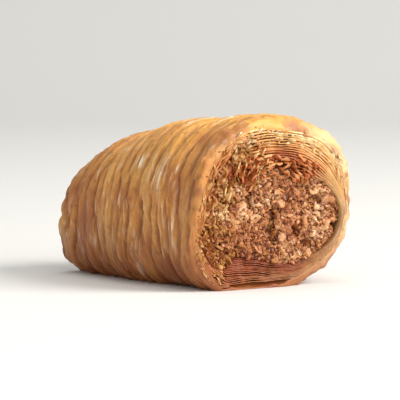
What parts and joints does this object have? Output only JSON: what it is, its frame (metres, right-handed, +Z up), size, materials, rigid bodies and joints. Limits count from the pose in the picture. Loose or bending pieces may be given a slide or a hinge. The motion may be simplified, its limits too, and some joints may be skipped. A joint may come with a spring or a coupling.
{
  "type": "rolled walnut baklava piece",
  "caption": "Short finger of rolled walnut baklava: pleated golden pastry roll, cut square at both ends, with chopped walnut filling showing at each cut.",
  "frame": {"origin": "on the surface the piece lies on, under the middle of its bounding box", "axes": "+X along the roll, towards its larger cut end; +Y across it; +Z up"},
  "size_m": [0.046, 0.0356, 0.0295],
  "materials": {
    "pastry": "baked golden pastry leaves soaked in syrup, glossy",
    "walnut": "chopped walnut bound with syrup, crumbly and moist"
  },
  "bodies": {
    "root": {"pastry_roll": "pastry", "walnut_filling": "walnut"}
  },
  "joints": []
}
